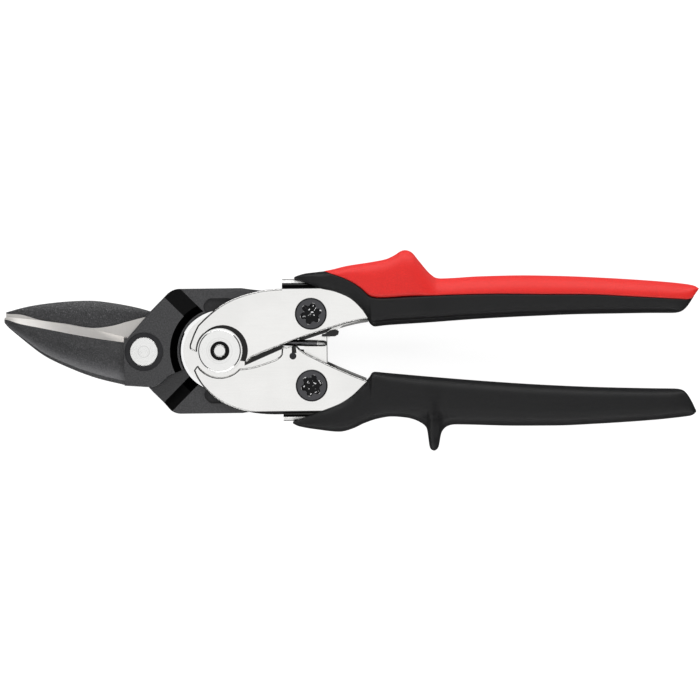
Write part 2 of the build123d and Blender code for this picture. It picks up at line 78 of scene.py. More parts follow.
# ---- places that the frame gives, in metres ----
MM = 0.001
CAD_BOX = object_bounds()
JOINTS = {joint["name"]: joint for joint in frame["joints"]}
JAW_PIVOT = Vector(JOINTS["jaw_opening"]["pos_m"])
HANDLE_PIVOT = Vector(JOINTS["handle_opening"]["pos_m"])
MID = HANDLE_PIVOT.z


def middle(node):
    low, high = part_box(node)
    return (low + high) / 2


TAIL_BOLTS = (middle("upper_tail_bolt"), middle("lower_tail_bolt"))
CHEEK_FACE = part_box("upper_lever")[1].z
GRIP_HALF = (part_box("lower_grip")[1].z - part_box("lower_grip")[0].z) / 2


# ---- settings ----
def colour(name, description, default):
    return FloatVectorProperty(name=name, description=description, default=default, size=3,
                               min=0, max=1, subtype="COLOR")


def length(name, description, default):
    return FloatProperty(name=name, description=description, default=default, unit="LENGTH",
                         precision=5)


class FinishColours(bpy.types.PropertyGroup):
    """Colours of the finishes."""
    forged: colour("Forged black", "Oxide-blackened forging", (0.034, 0.034, 0.036))
    ground: colour("Ground steel", "Ground bevel and sliding land", (0.82, 0.795, 0.765))
    nickel: colour("Nickel sheet", "Polished nickel of the levers", (0.90, 0.895, 0.88))
    bright: colour("Bright steel", "Turned pivots and bushes", (0.88, 0.88, 0.87))
    oxide: colour("Black oxide", "Bolts, nuts and washer", (0.045, 0.045, 0.048))
    spring: colour("Spring steel", "Drawn wire", (0.20, 0.20, 0.21))
    plastic: colour("Black plastic", "Latch tab", (0.012, 0.012, 0.013))
    grip: colour("Black grip", "Grip core and lower grip", (0.011, 0.011, 0.0115))
    red: colour("Red grip", "Soft overmould of the upper grip", (0.80, 0.026, 0.022))


class GripSizes(bpy.types.PropertyGroup):
    """Sizes of the moulded grips."""
    thickness: length("Half thickness", "Mid-plane to the grip's face", GRIP_HALF - 0.1 * MM)
    ridge: length("Ridge depth", "Depth of the line along the core's lower edge", 0.55 * MM)
    proud: length("Proud", "How far the red overmould stands above the core", 0.12 * MM)
    step: length("Station step", "Spacing of the sections along a grip", 1.5 * MM)


class StudioSizes(bpy.types.PropertyGroup):
    """Camera, floor and lamps."""
    field: length("Field", "Width that the camera takes in", 263 * MM)
    lens: FloatProperty(name="Lens", description="Focal length in millimetres", default=120,
                        unit="CAMERA")
    roll: FloatProperty(name="Roll", description="Turn of the tool in the picture",
                        default=radians(0.72), subtype="ANGLE")
    overhead: FloatProperty(name="Overhead", description="Radiance of the softbox overhead",
                            default=1.0, min=0)
    fill: FloatProperty(name="Fill", description="Radiance of the fill panels", default=2.6, min=0)
    sheen: FloatProperty(name="Sheen", description="Radiance of the two side softboxes",
                         default=2.2, min=0)
    horizon: FloatProperty(name="Horizon", description="Strength of the grey surroundings",
                           default=0.04, min=0)
    floor: FloatProperty(name="Floor", description="Light that the floor gives off", default=0.9,
                         min=0)


# ---- lines on the blades and levers ----
BEVEL_SLOPE = 0.19                      # how fast the bevel's foot drops along the front blade
HEEL_SLOPE = 0.25                       # how fast the land's edge rises beside the rear boss
GAP_SLOPE = 0.428                       # how fast the upper lever's edge rises from the hub
BLADE_ROOT = JAW_PIVOT.x - 7.4 * MM     # where the blades end and the bosses begin
SHOULDER_X = JAW_PIVOT.x + 6 * MM       # the forgings' slopes lie beyond this
POCKET_X = JAW_PIVOT.x + 18 * MM        # and their pockets beyond this
POCKET_FLOOR = MID + 3.5 * MM
CONE_END = 18.5 * MM                    # radius of the cone behind the boss
SHOULDER_UP = 0.924                     # upward part of the shoulder's normal
UNDER_UP = 0.730                        # and of the slope under the tail
RECESS_FLOOR = CHEEK_FACE - 1.1 * MM    # round recess about the hub
NOTCH_FLOOR = CHEEK_FACE - 2.1 * MM     # notch beside the catch pin
NOSE_FACE = CHEEK_FACE - 2 * MM         # inner plate of the lower lever
BEND_START = 22.7 * MM                  # the channels' bends, measured from the centre line
BEND_TURN = 25.0 * MM
BEND_END = 26.3 * MM
SOCKET_RING = 5.35 * MM                 # painted dark rim, painted shade over the rounded edge of the tail bolts' heads
LATCH_REACH = 14 * MM                   # catch pin's near side to the hook plate's edge


# ---- shader values ----
class Value:
    """A node's output; arithmetic on it adds Math nodes."""

    def __init__(self, finish, socket):
        self.finish = finish
        self.socket = socket

    def maths(self, operation, *operands):
        return self.finish.node("ShaderNodeMath", {"operation": operation}, inputs=operands)

    def __add__(self, other):
        return self.maths("ADD", self, other)

    __radd__ = __add__

    def __sub__(self, other):
        return self.maths("SUBTRACT", self, other)

    def __rsub__(self, other):
        return self.maths("SUBTRACT", other, self)

    def __mul__(self, other):
        return self.maths("MULTIPLY", self, other)

    __rmul__ = __mul__

    def __truediv__(self, other):
        return self.maths("DIVIDE", self, other)

    def __pow__(self, other):
        return self.maths("POWER", self, other)

    def rises(self, start, end):
        """0 below start, 1 above end, smooth between them; the other way round if end is lower."""
        flip = end < start
        low, high = (end, start) if flip else (start, end)
        step = self.finish.node("ShaderNodeMapRange", {"interpolation_type": "SMOOTHSTEP"},
                                {"Value": self, "From Min": low, "From Max": high})
        return 1 - step if flip else step


class Finish:
    """A material whose nodes are built from expressions."""

    def __init__(self, name, **constants):
        self.material = bpy.data.materials.new(name)
        self.material.use_nodes = True
        self.tree = self.material.node_tree
        self.tree.nodes.clear()
        self.shader = self.tree.nodes.new("ShaderNodeBsdfPrincipled")
        output = self.tree.nodes.new("ShaderNodeOutputMaterial")
        self.tree.links.new(self.shader.outputs["BSDF"], output.inputs["Surface"])
        for socket, value in constants.items():
            self.shader.inputs[socket.replace("_", " ")].default_value = value

    def plug(self, socket, value):
        if isinstance(value, Value):
            self.tree.links.new(value.socket, socket)
        elif socket.type == "RGBA":
            socket.default_value = (*value, 1)
        else:
            socket.default_value = value

    def node(self, kind, settings=None, sockets=None, output=0, inputs=()):
        """Adds a node: its settings first, then its sockets by name or, for inputs, in order."""
        made = self.tree.nodes.new(kind)
        for name, value in (settings or {}).items():
            setattr(made, name, value)
        for name, value in (sockets or {}).items():
            self.plug(made.inputs[name], value)
        for socket, value in zip(made.inputs, inputs):
            self.plug(socket, value)
        return Value(self, made.outputs[output])

    def place(self):
        """The piece's own coordinates, in metres."""
        return self.node("ShaderNodeTexCoord", output="Object")

    def xyz(self):
        return [self.node("ShaderNodeSeparateXYZ", sockets={"Vector": self.place()}, output=axis)
                for axis in "XYZ"]

    def facing(self):
        """Direction that the surface faces, in the piece's own axes."""
        normal = self.node("ShaderNodeTexCoord", output="Normal")
        return [self.node("ShaderNodeSeparateXYZ", sockets={"Vector": normal}, output=axis)
                for axis in "XYZ"]

    def radius(self, centre):
        """Distance from an upright axis through centre."""
        x, y, _ = self.xyz()
        across = x - centre.x
        along = y - centre.y
        return (across * across + along * along) ** 0.5

    def stretched(self, x, y, z):
        return self.node("ShaderNodeMapping", sockets={"Vector": self.place(), "Scale": (x, y, z)})

    def noise(self, size, detail=3.0, roughness=0.55, place=None):
        """Noise whose grains are about size metres across."""
        return self.node("ShaderNodeTexNoise", sockets={
            "Vector": place or self.place(), "Scale": 1 / size, "Detail": detail,
            "Roughness": roughness})

    def grains(self, size):
        return self.node("ShaderNodeTexVoronoi", {"feature": "F1"},
                         {"Vector": self.place(), "Scale": 1 / size}, output="Distance")

    def blend(self, amount, first, second):
        """Mix of two colours."""
        made = self.tree.nodes.new("ShaderNodeMix")
        made.data_type = "RGBA"
        self.plug(made.inputs[0], amount)
        self.plug(made.inputs[6], first)
        self.plug(made.inputs[7], second)
        return Value(self, made.outputs[2])

    def attribute(self, name):
        return self.node("ShaderNodeAttribute", {"attribute_name": name}, output="Fac")

    def bump(self, height, depth, strength=1.0):
        """Relief of depth metres where height goes from 0 to 1."""
        self.feed("Normal", self.node("ShaderNodeBump", sockets={
            "Height": height, "Distance": depth, "Strength": strength}))

    def feed(self, socket, value):
        self.plug(self.shader.inputs[socket], value)


def darker(shade, share):
    return tuple(part * share for part in shade)


def level(value, height, reach):
    """1 where value is within reach of height, fading to 0 over the same reach again."""
    below = value.rises(height - 2 * reach, height - reach)
    return below * value.rises(height + 2 * reach, height + reach)


def forge(finish, colours, ground, rough, lit=0.0):
    """Blackened forging: bright where ground, rough where left as forged, with a painted highlight
    where lit and painted shade on its slopes, cone and pockets.
    """
    x, _, height = finish.xyz()
    facing_up = finish.facing()[2]
    fine = finish.noise(0.5 * MM, 4)
    broad = finish.noise(6 * MM, 2)
    pits = finish.grains(0.55 * MM)
    base = tuple(colours.forged)
    black = finish.blend(fine.rises(0.3, 0.75), darker(base, 0.50), darker(base, 1.75))
    black = finish.blend(rough * pits.rises(0.55, 0.15) * 0.8, black, darker(base, 0.30))
    black = finish.blend(rough * fine.rises(0.60, 0.72) * 0.75, black, darker(base, 4.5))
    black = finish.blend(lit * (0.35 + fine * 0.5), black, darker(base, 4.0))
    streaks = finish.noise(0.35 * MM, 3, place=finish.stretched(1.0, 0.06, 1.0))
    steel = finish.blend(streaks, darker(colours.ground, 0.86), tuple(colours.ground))
    # painted shade: the shoulders' and tails' slopes, the cone behind the boss and the pockets'
    # floors are painted near-black
    slope = level(facing_up, SHOULDER_UP, 0.012) + level(facing_up, UNDER_UP, 0.03)
    cone = finish.radius(HANDLE_PIVOT).rises(CONE_END + 0.4 * MM, CONE_END)
    cone = cone * facing_up.rises(0.98, 0.95)
    painted_shade = (slope + cone) * x.rises(SHOULDER_X, SHOULDER_X + 2 * MM)
    pocket = level(height, POCKET_FLOOR, 0.05 * MM) * facing_up * 0.35
    painted_shade = painted_shade + pocket * x.rises(POCKET_X, POCKET_X + 2 * MM)
    black = finish.blend(painted_shade * 0.9, black, darker(base, 0.10))
    finish.feed("Base Color", finish.blend(ground, black, steel))
    finish.feed("Metallic", ground * 0.65 + painted_shade * 0.8 * (1 - ground))
    dull = 0.33 + broad * 0.08 + fine * 0.10 + painted_shade * 0.30
    finish.feed("Roughness", dull * (1 - ground) + (0.30 + streaks * 0.10) * ground)
    relief = fine * (0.35 + rough * 0.65) + pits * rough * 0.8
    finish.bump(relief * (1 - ground) + streaks * ground * 0.05, 0.10 * MM, 0.8)
    return finish.material


def front_forging(colours):
    """Front jaw: its blade has one ground bevel along the cutting edge."""
    finish = Finish("front_forging", Specular_IOR_Level=0.9)
    x, y, _ = finish.xyz()
    foot = y + x * BEVEL_SLOPE
    beside = foot.rises(JAW_PIVOT.y + 0.6 * MM, JAW_PIVOT.y + 0.8 * MM)
    blade = x.rises(BLADE_ROOT + 0.1 * MM, BLADE_ROOT)
    facing = finish.facing()[1]
    ground = facing.rises(0.38, 0.46) * blade * beside
    hollow = blade * (1 - ground)
    # painted highlight: the hollow is painted paler where it faces +y
    lit = hollow * facing.rises(0.0, 0.50) * 0.75
    return forge(finish, colours, ground, hollow * 0.5, lit)


def rear_forging(colours):
    """Rear jaw: bright on the land that slides past the front blade, and rough behind it."""
    finish = Finish("rear_forging", Specular_IOR_Level=0.9)
    x, y, height = finish.xyz()
    facing = finish.facing()
    blade = x.rises(JAW_PIVOT.x + 3.1 * MM, JAW_PIVOT.x + 2.9 * MM)
    blade = blade * y.rises(JAW_PIVOT.y + 2 * MM, JAW_PIVOT.y + 3 * MM)
    heel = (y - x * HEEL_SLOPE).rises(JAW_PIVOT.y + 13.05 * MM, JAW_PIVOT.y + 13.15 * MM)
    heel = heel * x.rises(BLADE_ROOT - 0.08 * MM, BLADE_ROOT - 0.02 * MM)
    land = height.rises(MID - 0.12 * MM, MID - 0.08 * MM) * facing[2].rises(0.9, 0.97)
    land = land * (1 - heel)
    return forge(finish, colours, land * blade, blade)


def nickel_sheet(colours, name="nickel_sheet", edge=None):
    """Polished nickel plate, faintly clouded and rolled lengthwise, with painted shade in its
    recesses, on the far cheek, under the upper lever's edge and on the bends' inner parts, and a
    painted highlight on the bends' outer strips; edge is the x of a painted dark line of shade.
    """
    finish = Finish(name)
    x, y, height = finish.xyz()
    facing_up = finish.facing()[2]
    cloud = finish.noise(22 * MM, 2)
    rolled = finish.noise(0.4 * MM, 3, place=finish.stretched(0.05, 1.0, 1.0))
    base = tuple(colours.nickel)
    plate = finish.blend(cloud.rises(0.35, 0.7), darker(base, 0.93), base)
    # painted shade: the recess about the hub, the notch beside the catch pin, the far cheek's
    # upward faces (darkest near the jaws) and the nose plate just under the upper lever's edge
    recess = level(height, RECESS_FLOOR, 0.05 * MM) + level(height, NOTCH_FLOOR, 0.03 * MM)
    near_jaws = x.rises(JAW_PIVOT.x + 73 * MM, JAW_PIVOT.x + 70 * MM)
    inside = height.rises(MID - 3 * MM, MID - 4 * MM) * (0.75 + near_jaws * 0.22)
    under_edge = (y - (x - HANDLE_PIVOT.x - 10.1 * MM) * GAP_SLOPE).rises(
        JAW_PIVOT.y - 5.4 * MM, JAW_PIVOT.y - 5.1 * MM)
    under_edge = under_edge * x.rises(HANDLE_PIVOT.x + 9.0 * MM, HANDLE_PIVOT.x + 9.3 * MM)
    shadow = level(height, NOSE_FACE, 0.02 * MM) * under_edge
    plate_painted_shade = (recess + inside + shadow) * facing_up.rises(0.85, 0.95)
    side = finish.node("ShaderNodeMath", {"operation": "ABSOLUTE"}, inputs=[y - JAW_PIVOT.y])
    # painted shade: the inner part of each channel's bend is painted dark, as a painted reflection
    # of dark surroundings
    bend = side.rises(BEND_START, BEND_START + 0.2 * MM) \
        * side.rises(BEND_TURN + 0.1 * MM, BEND_TURN - 0.1 * MM)
    # painted highlight: the bend's outer strip loses most of its metal so the lamps light it pale
    highlight_strip = side.rises(BEND_TURN - 0.1 * MM, BEND_TURN + 0.2 * MM) \
        * side.rises(BEND_END + 0.05 * MM, BEND_END - 0.05 * MM)
    dark = plate_painted_shade + bend * facing_up.rises(0.1, 0.2)
    # painted shade: a dark line along the plate's edge at x
    if edge is not None:
        dark = dark + level(x, edge, 0.08 * MM)
    finish.feed("Base Color", finish.blend(dark, plate, darker(base, 0.03)))
    finish.feed("Metallic", 1 - highlight_strip * facing_up.rises(0.1, 0.2) * 0.9)
    finish.feed("Roughness", 0.13 + cloud * 0.07 + rolled * 0.05)
    finish.bump(rolled, 0.01 * MM, 0.25)
    return finish.material


def bright_steel(colours):
    """Turned and polished steel, faintly clouded."""
    finish = Finish("bright_steel", Metallic=1.0)
    fine = finish.noise(0.3 * MM, 3)
    cloud = finish.noise(5 * MM, 2)
    base = tuple(colours.bright)
    finish.feed("Base Color", finish.blend(cloud, darker(base, 0.90), base))
    finish.feed("Roughness", 0.16 + fine * 0.08)
    finish.bump(fine, 0.01 * MM, 0.3)
    return finish.material


def centred_steel(colours, name, centre, marks):
    """Bright steel with turned rings round a centre: marks are radius, width and depth of tone."""
    finish = Finish(name, Metallic=1.0)
    radius = finish.radius(centre)
    fine = finish.noise(0.3 * MM, 3)
    tone = 0.0
    for ring, width, depth in marks:
        inner = radius.rises(ring - width, ring)
        tone = tone + inner * radius.rises(ring + width, ring) * depth
    base = tuple(colours.bright)
    finish.feed("Base Color", finish.blend(tone, base, darker(base, 0.25)))
    finish.feed("Roughness", 0.16 + fine * 0.08)
    lathe = finish.node("ShaderNodeMath", {"operation": "SINE"},
                        inputs=[radius * (tau / (0.22 * MM))])
    finish.bump(lathe, 0.004 * MM, 0.35)
    return finish.material


def black_oxide(colours):
    """Oxide-blackened steel with a faint oily variation."""
    finish = Finish("black_oxide", Metallic=0.9)
    fine = finish.noise(0.4 * MM, 3)
    cloud = finish.noise(3 * MM, 2)
    base = tuple(colours.oxide)
    finish.feed("Base Color", finish.blend(cloud, darker(base, 0.7), darker(base, 1.25)))
    finish.feed("Roughness", 0.24 + fine * 0.14)
    finish.bump(fine, 0.02 * MM, 0.35)
    return finish.material


def socket_oxide(colours, rim):
    """Blackened bolt head with a painted dark rim of shade; its socket, below the rim, is painted
    darker as shade, with painted glints, and is oily and dented.
    """
    finish = Finish("socket_oxide", Metallic=0.9)
    height = finish.xyz()[2]
    inside = height.rises(rim - 0.30 * MM, rim - 0.50 * MM)
    fine = finish.noise(0.4 * MM, 3)
    dents = finish.noise(1.1 * MM, 1)
    base = tuple(colours.oxide)
    radius = finish.node("ShaderNodeMath", {"operation": "MINIMUM"},
                         inputs=[finish.radius(centre) for centre in TAIL_BOLTS])
    # painted shade: the rim over the head's rounded edge is painted dark
    ring = radius.rises(SOCKET_RING, SOCKET_RING + 0.2 * MM)
    top = finish.blend(fine, darker(base, 1.9), darker(base, 2.9))
    top = finish.blend(ring * 0.8, top, darker(base, 0.3))
    # painted shade and painted glints: the socket is painted darker, with pale glint spots where
    # the dents noise is high
    glint = inside * dents.rises(0.63, 0.68)
    socket_shade_and_glints = finish.blend(glint, darker(base, 0.25), (0.75, 0.75, 0.76))
    finish.feed("Base Color", finish.blend(inside, top, socket_shade_and_glints))
    finish.feed("Roughness", (0.30 + fine * 0.10) * (1 - inside) + inside * 0.12)
    finish.bump(dents * inside + fine * 0.08, 0.18 * MM, 0.8)
    return finish.material


def hub_bolt(colours, shoulder):
    """Pivot bolt: its turned pin is bright and its shoulder, down in the hub, is painted
    near-black as the shade in the groove.
    """
    finish = Finish("hub_bolt", Metallic=1.0)
    height = finish.xyz()[2]
    up = height.rises(shoulder + 0.2 * MM, shoulder + 0.7 * MM)
    fine = finish.noise(0.3 * MM, 3)
    # painted shade: below the pin the shoulder is painted near-black
    finish.feed("Base Color", finish.blend(up, (0.012, 0.012, 0.012), tuple(colours.bright)))
    finish.feed("Roughness", 0.18 + fine * 0.10)
    finish.bump(fine, 0.01 * MM, 0.3)
    return finish.material


def spring_steel(colours):
    """Drawn spring wire, bright at its cropped end."""
    finish = Finish("spring_steel", Metallic=1.0)
    drawn = finish.noise(0.25 * MM, 3, place=finish.stretched(0.08, 1.0, 1.0))
    base = tuple(colours.spring)
    end = finish.attribute("cropped")
    wire = finish.blend(drawn, darker(base, 0.75), darker(base, 1.3))
    finish.feed("Base Color", finish.blend(end, wire, tuple(colours.bright)))
    finish.feed("Roughness", 0.26 + drawn * 0.12)
    finish.bump(drawn, 0.01 * MM, 0.3)
    return finish.material


def moulded(name, base, grain, gloss, specular, dust=1.35):
    """Moulded grip material: fine spark-eroded grain, with a slight cloudiness in its gloss."""
    finish = Finish(name)
    finish.shader.inputs["Specular IOR Level"].default_value = specular
    texture = finish.noise(grain, 4, 0.6)
    cloud = finish.noise(9 * MM, 2)
    finish.feed("Base Color", finish.blend(texture.rises(0.35, 0.7), darker(base, 0.82),
                                           tuple(min(1, part * dust) for part in base)))
    finish.feed("Roughness", gloss + cloud * 0.08 + texture * 0.05)
    finish.bump(texture, 0.02 * MM, 0.6)
    return finish.material


MATERIALS = {}


def finish_for(slot):
    """The finish of one of the record's material slots, made once."""
    colours = bpy.context.scene.snips_colours
    makers = {
        "nickel_sheet": lambda: nickel_sheet(colours),
        "bright_steel": lambda: bright_steel(colours),
        "black_oxide": lambda: black_oxide(colours),
        "spring_steel": lambda: spring_steel(colours),
        "black_plastic": lambda: moulded("black_plastic", tuple(colours.plastic),
                                         0.25 * MM, 0.30, 0.5),
        "black_grip": lambda: moulded("black_grip", tuple(colours.grip), 0.30 * MM, 0.46, 0.42),
        "red_grip": lambda: moulded("red_grip", tuple(colours.red), 0.30 * MM, 0.40, 0.40,
                                    dust=1.04),
    }
    if slot not in MATERIALS:
        MATERIALS[slot] = makers[slot]()
    return MATERIALS[slot]


def dress(node, material):
    """Gives a CAD node that stays a better material."""
    for slot in frame["nodes"][node].material_slots:
        slot.material = material


# ---- making pieces ----
def add_piece(name, mesh, body, slot, *nodes):
    """A visible piece that rides on a body and stands for CAD nodes."""
    mesh.materials.clear()
    mesh.materials.append(finish_for(slot))
    piece = bpy.data.objects.new(name, mesh)
    bpy.context.scene.collection.objects.link(piece)
    if body:
        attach(piece, body)
    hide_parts(*nodes)
    return piece


def mesh_from(name, bm, smooth=True):
    bmesh.ops.recalc_face_normals(bm, faces=bm.faces)
    mesh = bpy.data.meshes.new(name)
    bm.to_mesh(mesh)
    bm.free()
    mesh.polygons.foreach_set("use_smooth", [smooth] * len(mesh.polygons))
    return mesh


def skin(name, rings):
    """Closed skin over rings that all have the same number of points."""
    bm = bmesh.new()
    rows = [[bm.verts.new(point) for point in ring] for ring in rings]
    for row, following in zip(rows, rows[1:]):
        for i, vertex in enumerate(row):
            j = (i + 1) % len(row)
            bm.faces.new((vertex, row[j], following[j], following[i]))
    for row in (rows[0], rows[-1]):
        bm.faces.new(row)
    return mesh_from(name, bm)


def softened(piece, levels):
    """One or more rounds of subdivision on a piece."""
    modifier = piece.modifiers.new("Subdivision", "SUBSURF")
    modifier.levels = modifier.render_levels = levels
    return piece


class Curve:
    """Smooth y(x) through a few points, in millimetres, with no overshoot between them."""

    def __init__(self, *points):
        self.points = points
        rises = [(b[1] - a[1]) / (b[0] - a[0]) for a, b in zip(points, points[1:])]
        self.slopes = [rises[0]]
        for before, after in zip(rises, rises[1:]):
            same_way = before * after > 0
            self.slopes.append(2 * before * after / (before + after) if same_way else 0.0)
        self.slopes.append(rises[-1])

    def __call__(self, x):
        points = self.points
        if x <= points[0][0]:
            return points[0][1]
        if x >= points[-1][0]:
            return points[-1][1]
        i = max(k for k, point in enumerate(points) if point[0] <= x)
        (x0, y0), (x1, y1) = points[i], points[i + 1]
        step = x1 - x0
        t = (x - x0) / step
        return ((1 + 2 * t) * (1 - t) ** 2 * y0 + t * (1 - t) ** 2 * step * self.slopes[i]
                + t * t * (3 - 2 * t) * y1 - t * t * (1 - t) * step * self.slopes[i + 1])


def at(x, y, z=0.0):
    """Point in metres from millimetres measured from the jaw pivot in the mid-plane."""
    return Vector((JAW_PIVOT.x + x * MM, JAW_PIVOT.y + y * MM, MID + z * MM))


# ---- operators ----
class SNIPS_OT_jaws(bpy.types.Operator):
    """Finishes of both forged jaws, with their ground edges"""
    bl_idname = "snips.jaws"
    bl_label = "Jaws"

    def execute(self, context):
        colours = context.scene.snips_colours
        dress("front_jaw", front_forging(colours))
        dress("rear_jaw", rear_forging(colours))
        return {"FINISHED"}


class SNIPS_OT_levers(bpy.types.Operator):
    """Finish of both pressed sheet levers"""
    bl_idname = "snips.levers"
    bl_label = "Levers"

    def execute(self, context):
        for node in ("upper_lever", "lower_lever"):
            dress(node, finish_for("nickel_sheet"))
        return {"FINISHED"}


class SNIPS_OT_pivots(bpy.types.Operator):
    """Finishes of the jaw pivot, the handle pivot and the tail bolts"""
    bl_idname = "snips.pivots"
    bl_label = "Pivots and bolts"

    def execute(self, context):
        colours = context.scene.snips_colours
        jaw_head = centred_steel(colours, "turned_jaw_bolt", JAW_PIVOT,
                                 [(2.1 * MM, 0.25 * MM, 0.22)])
        hub = centred_steel(colours, "turned_hub", HANDLE_PIVOT, [(4.75 * MM, 0.3 * MM, 0.12)])
        dress("jaw_pivot_bolt", jaw_head)
        for node in ("handle_pivot_front_bush", "handle_pivot_rear_bush"):
            dress(node, hub)
        dress("handle_pivot_bolt", hub_bolt(colours, CHEEK_FACE - 0.6 * MM))
        for node in ("handle_pivot_sleeve", "lower_tail_bush", "upper_tail_bush"):
            dress(node, finish_for("bright_steel"))
        for node in ("jaw_pivot_washer", "jaw_pivot_nut", "handle_pivot_nut", "upper_tail_nut",
                     "lower_tail_nut"):
            dress(node, finish_for("black_oxide"))
        heads = socket_oxide(colours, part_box("upper_tail_bolt")[1].z)
        for node in ("upper_tail_bolt", "lower_tail_bolt"):
            dress(node, heads)
        return {"FINISHED"}


class SNIPS_OT_latch(bpy.types.Operator):
    """Finishes of the sliding latch and its pins"""
    bl_idname = "snips.latch"
    bl_label = "Latch"

    def execute(self, context):
        colours = context.scene.snips_colours
        back_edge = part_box("latch_catch_pin")[0].x + LATCH_REACH
        dress("latch_hook", nickel_sheet(colours, "latch_plate", back_edge))
        dress("latch_tab", finish_for("black_plastic"))
        dress("latch_guide_pins", finish_for("nickel_sheet"))
        dress("latch_catch_pin", finish_for("black_oxide"))
        return {"FINISHED"}


def swept(name, path, radius, sides=14):
    """Round wire along a path of points, with its ends rounded off."""
    rings = []
    up = Vector((0, 0, 1))
    gone = 0.0
    total = sum((b - a).length for a, b in zip(path, path[1:]))
    for i, point in enumerate(path):
        ahead = (path[min(i + 1, len(path) - 1)] - path[max(i - 1, 0)]).normalized()
        side = ahead.cross(up).normalized()
        top = side.cross(ahead)
        if i:
            gone += (point - path[i - 1]).length
        end = min(1.0, min(gone, total - gone) / radius)
        size = radius * max(0.25, (1 - (1 - end) ** 2) ** 0.5)
        rings.append([point + (side * cos(tau * k / sides) + top * sin(tau * k / sides)) * size
                      for k in range(sides)])
    return skin(name, rings)


def bent(points, rounding, steps=6):
    """Path through points with each corner rounded, closely spaced at both ends."""
    path = []
    for i, point in enumerate(points):
        if i in (0, len(points) - 1):
            other = points[1] if i == 0 else points[-2]
            way = (other - point).normalized()
            spaced = [point + way * (0.12 * MM * k * k) for k in range(4)]
            path += spaced if i == 0 else spaced[::-1]
            continue
        a = (points[i - 1] - point).normalized() * rounding
        b = (points[i + 1] - point).normalized() * rounding
        for k in range(steps + 1):
            t = k / steps
            path.append(point + a * (1 - t) ** 2 + b * t * t)
    return path


class SNIPS_OT_spring(bpy.types.Operator):
    """The opening spring: its coil round the handle pivot and a leg along each lever"""
    bl_idname = "snips.spring"
    bl_label = "Opening spring"

    def execute(self, context):
        low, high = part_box("opening_spring")
        radius = (high.z - low.z) / 4 - 0.025 * MM
        rise = radius + 0.05 * MM
        coil = HANDLE_PIVOT.y - low.y - radius
        turns = 40

        def on_coil(k):
            angle = pi / 2 + tau * k / turns
            return HANDLE_PIVOT + Vector((coil * cos(angle), coil * sin(angle),
                                          rise * (2 * k / turns - 1)))

        foot = HANDLE_PIVOT + Vector((-5.0 * MM, coil - 0.4 * MM, -rise))
        leg_bend = at(50.0, 2.9, rise / MM)
        tip = Vector((high.x, at(0, 2.25).y, MID + rise))
        path = bent([foot, on_coil(0), on_coil(1)], 0.8 * MM)[:-4]
        path += [on_coil(k) for k in range(2, turns)]
        path += bent([on_coil(turns - 1), on_coil(turns), leg_bend, tip], 0.9 * MM)[4:]
        mesh = swept("spring_wire", path, radius)
        ends = [float(f.center.x > tip.x - 1.9 * MM) for f in mesh.polygons]
        mesh.attributes.new("cropped", "FLOAT", "FACE").data.foreach_set("value", ends)
        piece = add_piece("spring_wire", mesh, None, "spring_steel", "opening_spring")
        softened(piece, 1)
        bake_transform(piece)
        return {"FINISHED"}


# ---- grips ----
def rounded_side(y, low, high, sharp_low, sharp_high):
    """Share of the full thickness at height y of a section from low to high."""
    half = (high - low) / 2
    t = min(1.0, abs((y - low - half) / half))
    power = sharp_low if y < low + half else sharp_high
    return (1 - t ** power) ** (1 / power)


UPPER_LOW = Curve((56.3, 26.6), (57.2, 26.4), (61.0, 24.6), (64.5, 23.1), (66.5, 22.3),
                  (70.3, 21.6), (73.2, 20.6), (77.2, 18.7), (79.2, 17.0), (81.2, 14.8),
                  (82.6, 12.9), (83.7, 11.0), (84.7, 9.4), (86.3, 8.4), (90.3, 8.8),
                  (105.3, 9.6), (125.3, 10.8), (145.4, 11.6), (165.4, 12.1), (190.0, 12.2),
                  (198.9, 12.1), (200.6, 12.2), (201.8, 12.8), (203.4, 14.5), (205.4, 17.2),
                  (207.0, 19.7), (207.7, 21.0))
UPPER_HIGH = Curve((56.3, 27.3), (57.2, 27.7), (60.6, 28.7), (65.6, 29.2), (70.6, 30.0),
                   (75.6, 31.2), (85.6, 32.7), (90.6, 33.6), (92.6, 34.4), (94.7, 35.5),
                   (96.2, 36.5), (97.9, 37.0), (99.2, 36.8), (100.7, 36.0), (102.6, 33.7),
                   (106.6, 28.8), (108.1, 27.4), (109.5, 26.5), (111.5, 26.2), (115.5, 26.3),
                   (125.5, 26.8), (140.0, 27.0), (155.5, 26.6), (175.5, 25.5), (195.5, 23.9),
                   (204.5, 22.8), (206.5, 22.3), (207.7, 21.3))
RED_LINE = Curve((67.3, 29.5), (70.6, 28.0), (73.5, 26.9), (76.5, 25.5), (78.5, 24.3),
                 (80.5, 22.9), (82.5, 21.1), (84.0, 19.5), (85.4, 18.8), (88.4, 18.4),
                 (95.4, 18.6), (105.4, 19.1), (115.5, 19.5), (130.5, 19.6), (150.5, 19.2),
                 (165.5, 19.0), (185.4, 17.8), (204.4, 16.6))
UPPER_SHARP_LOW = Curve((56.0, 7.0), (84.0, 7.0), (90.0, 4.5), (120.0, 3.6), (150.0, 3.0),
                        (196.0, 3.0), (201.0, 6.0), (208.0, 6.0))
UPPER_SHARP_HIGH = Curve((56.0, 2.6), (66.0, 3.2), (90.0, 4.2), (100.0, 3.6), (112.0, 2.3),
                         (200.0, 2.3))
UPPER_THICK = Curve((56.3, 0.72), (60.0, 0.82), (68.0, 0.92), (80.0, 0.98), (98.0, 1.0),
                    (103.0, 0.97), (110.0, 0.88), (118.0, 0.86), (150.0, 0.90), (195.0, 0.90),
                    (205.0, 0.80), (207.7, 0.62))
RIDGE_UP = Curve((84.0, 1.9), (105.0, 1.8), (130.0, 1.5), (165.0, 1.1), (198.0, 0.9))

